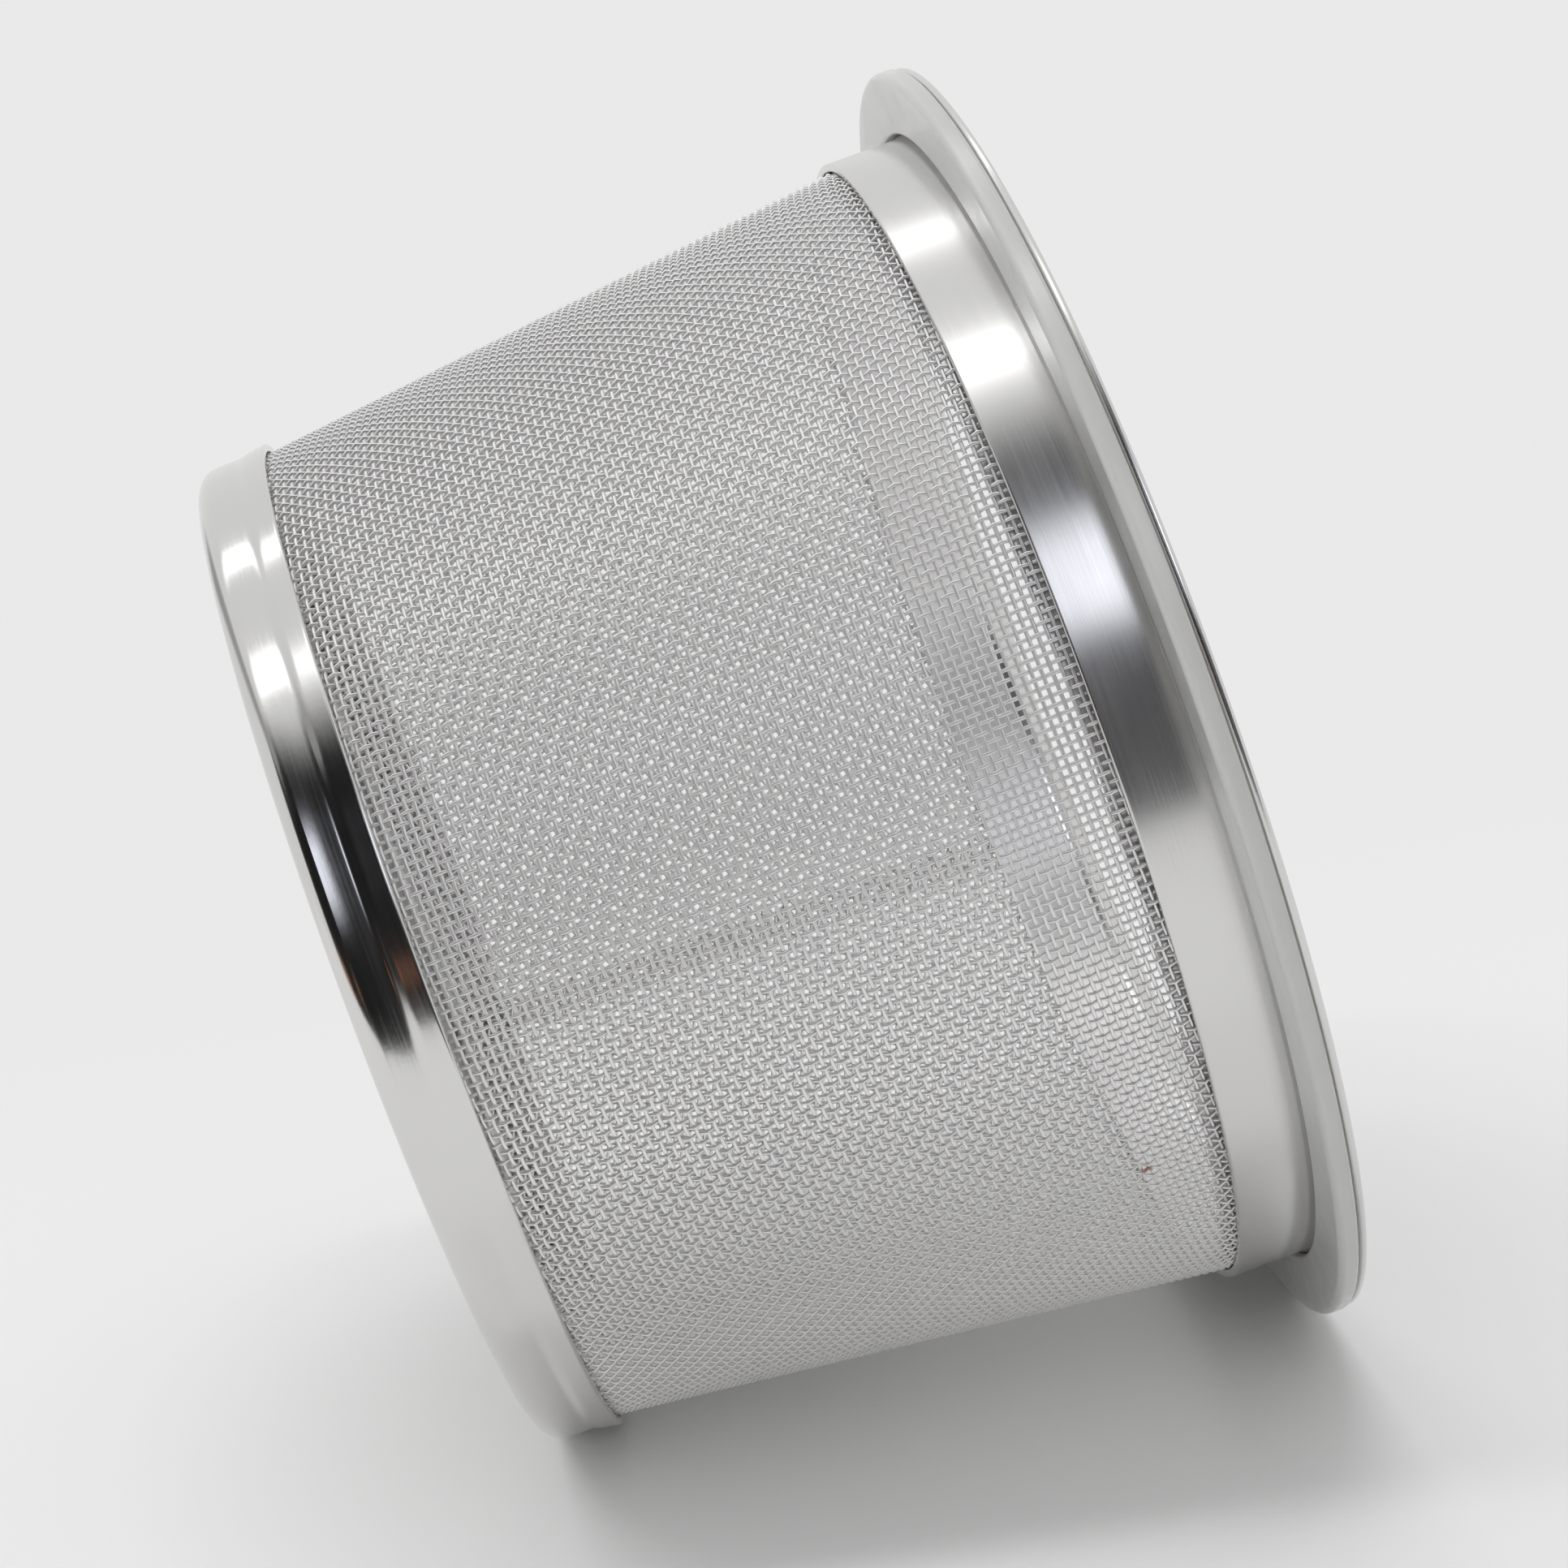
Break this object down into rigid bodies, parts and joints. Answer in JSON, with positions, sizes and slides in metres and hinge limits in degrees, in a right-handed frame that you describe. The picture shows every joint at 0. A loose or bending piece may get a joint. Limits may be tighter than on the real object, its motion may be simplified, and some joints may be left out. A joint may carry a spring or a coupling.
{
  "type": "grinder sifter basket",
  "caption": "Tapered woven-wire sieve basket with a closed pressed cap, a flanged steel collar at its open mouth and a flat silicone seal under the flange.",
  "frame": {"origin": "middle of the cap's flat outer face, on which the basket stands", "axes": "+Z along the basket's axis from the cap to the open mouth; the cloth's lap seam lies 76.7 degrees round from +X towards +Y"},
  "size_m": [0.0656, 0.0656, 0.0391],
  "materials": {
    "polished_steel": "bright polished, with faint drawing lines round the axis",
    "wire_cloth": "plain weave of bright round wire",
    "silicone": "translucent, satin"
  },
  "bodies": {
    "root": {"bottom_cap": "polished_steel", "mesh_sleeve": "wire_cloth", "collar": "polished_steel", "clamp_ring": "polished_steel", "seal_ring": "silicone"}
  },
  "joints": []
}
